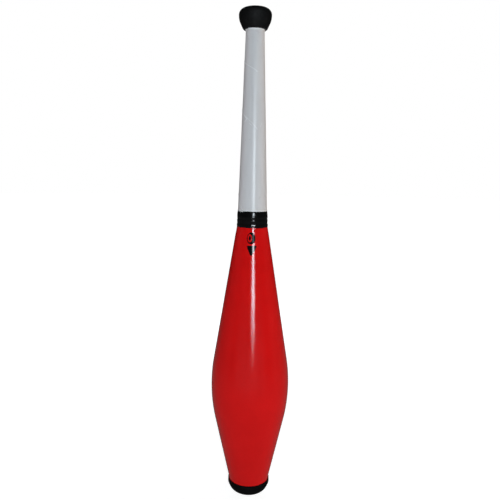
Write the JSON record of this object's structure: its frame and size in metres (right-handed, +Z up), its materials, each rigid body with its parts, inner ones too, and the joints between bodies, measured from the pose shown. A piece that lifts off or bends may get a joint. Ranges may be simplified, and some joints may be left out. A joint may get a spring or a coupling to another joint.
{
  "type": "juggling club",
  "caption": "Slim juggling club with a hollow red tapering body, a white film-wrapped handle, a black neck band, and a rubber knob and base cap.",
  "frame": {"origin": "centre of the flat foot on the underside of the base cap", "axes": "+Z up the club's axis from the base to the knob, -Y towards the label on the body"},
  "size_m": [0.0842, 0.0842, 0.52],
  "materials": {
    "dowel_wood": "sanded beech",
    "body_red": "satin moulded polyethylene with a fine pebble grain",
    "handle_white": "smooth glossy white film, wound as a strip",
    "padding": "closed-cell foam",
    "tube_plastic": "moulded polyethylene",
    "inner_plastic": "moulded polyethylene",
    "band_black": "glossy black PVC tape",
    "rubber_black": "matte moulded rubber",
    "button_black": "matte moulded rubber",
    "steel": "zinc plated",
    "label_clear": "clear glossy film"
  },
  "bodies": {
    "root": {"core_dowel": "dowel_wood", "body_shell": "body_red", "handle_film": "handle_white", "handle_padding": "padding", "handle_tube": "tube_plastic", "neck_bush": "inner_plastic", "base_plug": "inner_plastic", "neck_band": "band_black", "knob": "rubber_black", "base_cap": "rubber_black", "knob_button": "button_black", "base_button": "button_black", "knob_washer": "steel", "base_washer": "steel", "knob_screw": "steel", "base_screw": "steel", "neck_tacks": "steel", "label_film": "label_clear"}
  },
  "joints": []
}
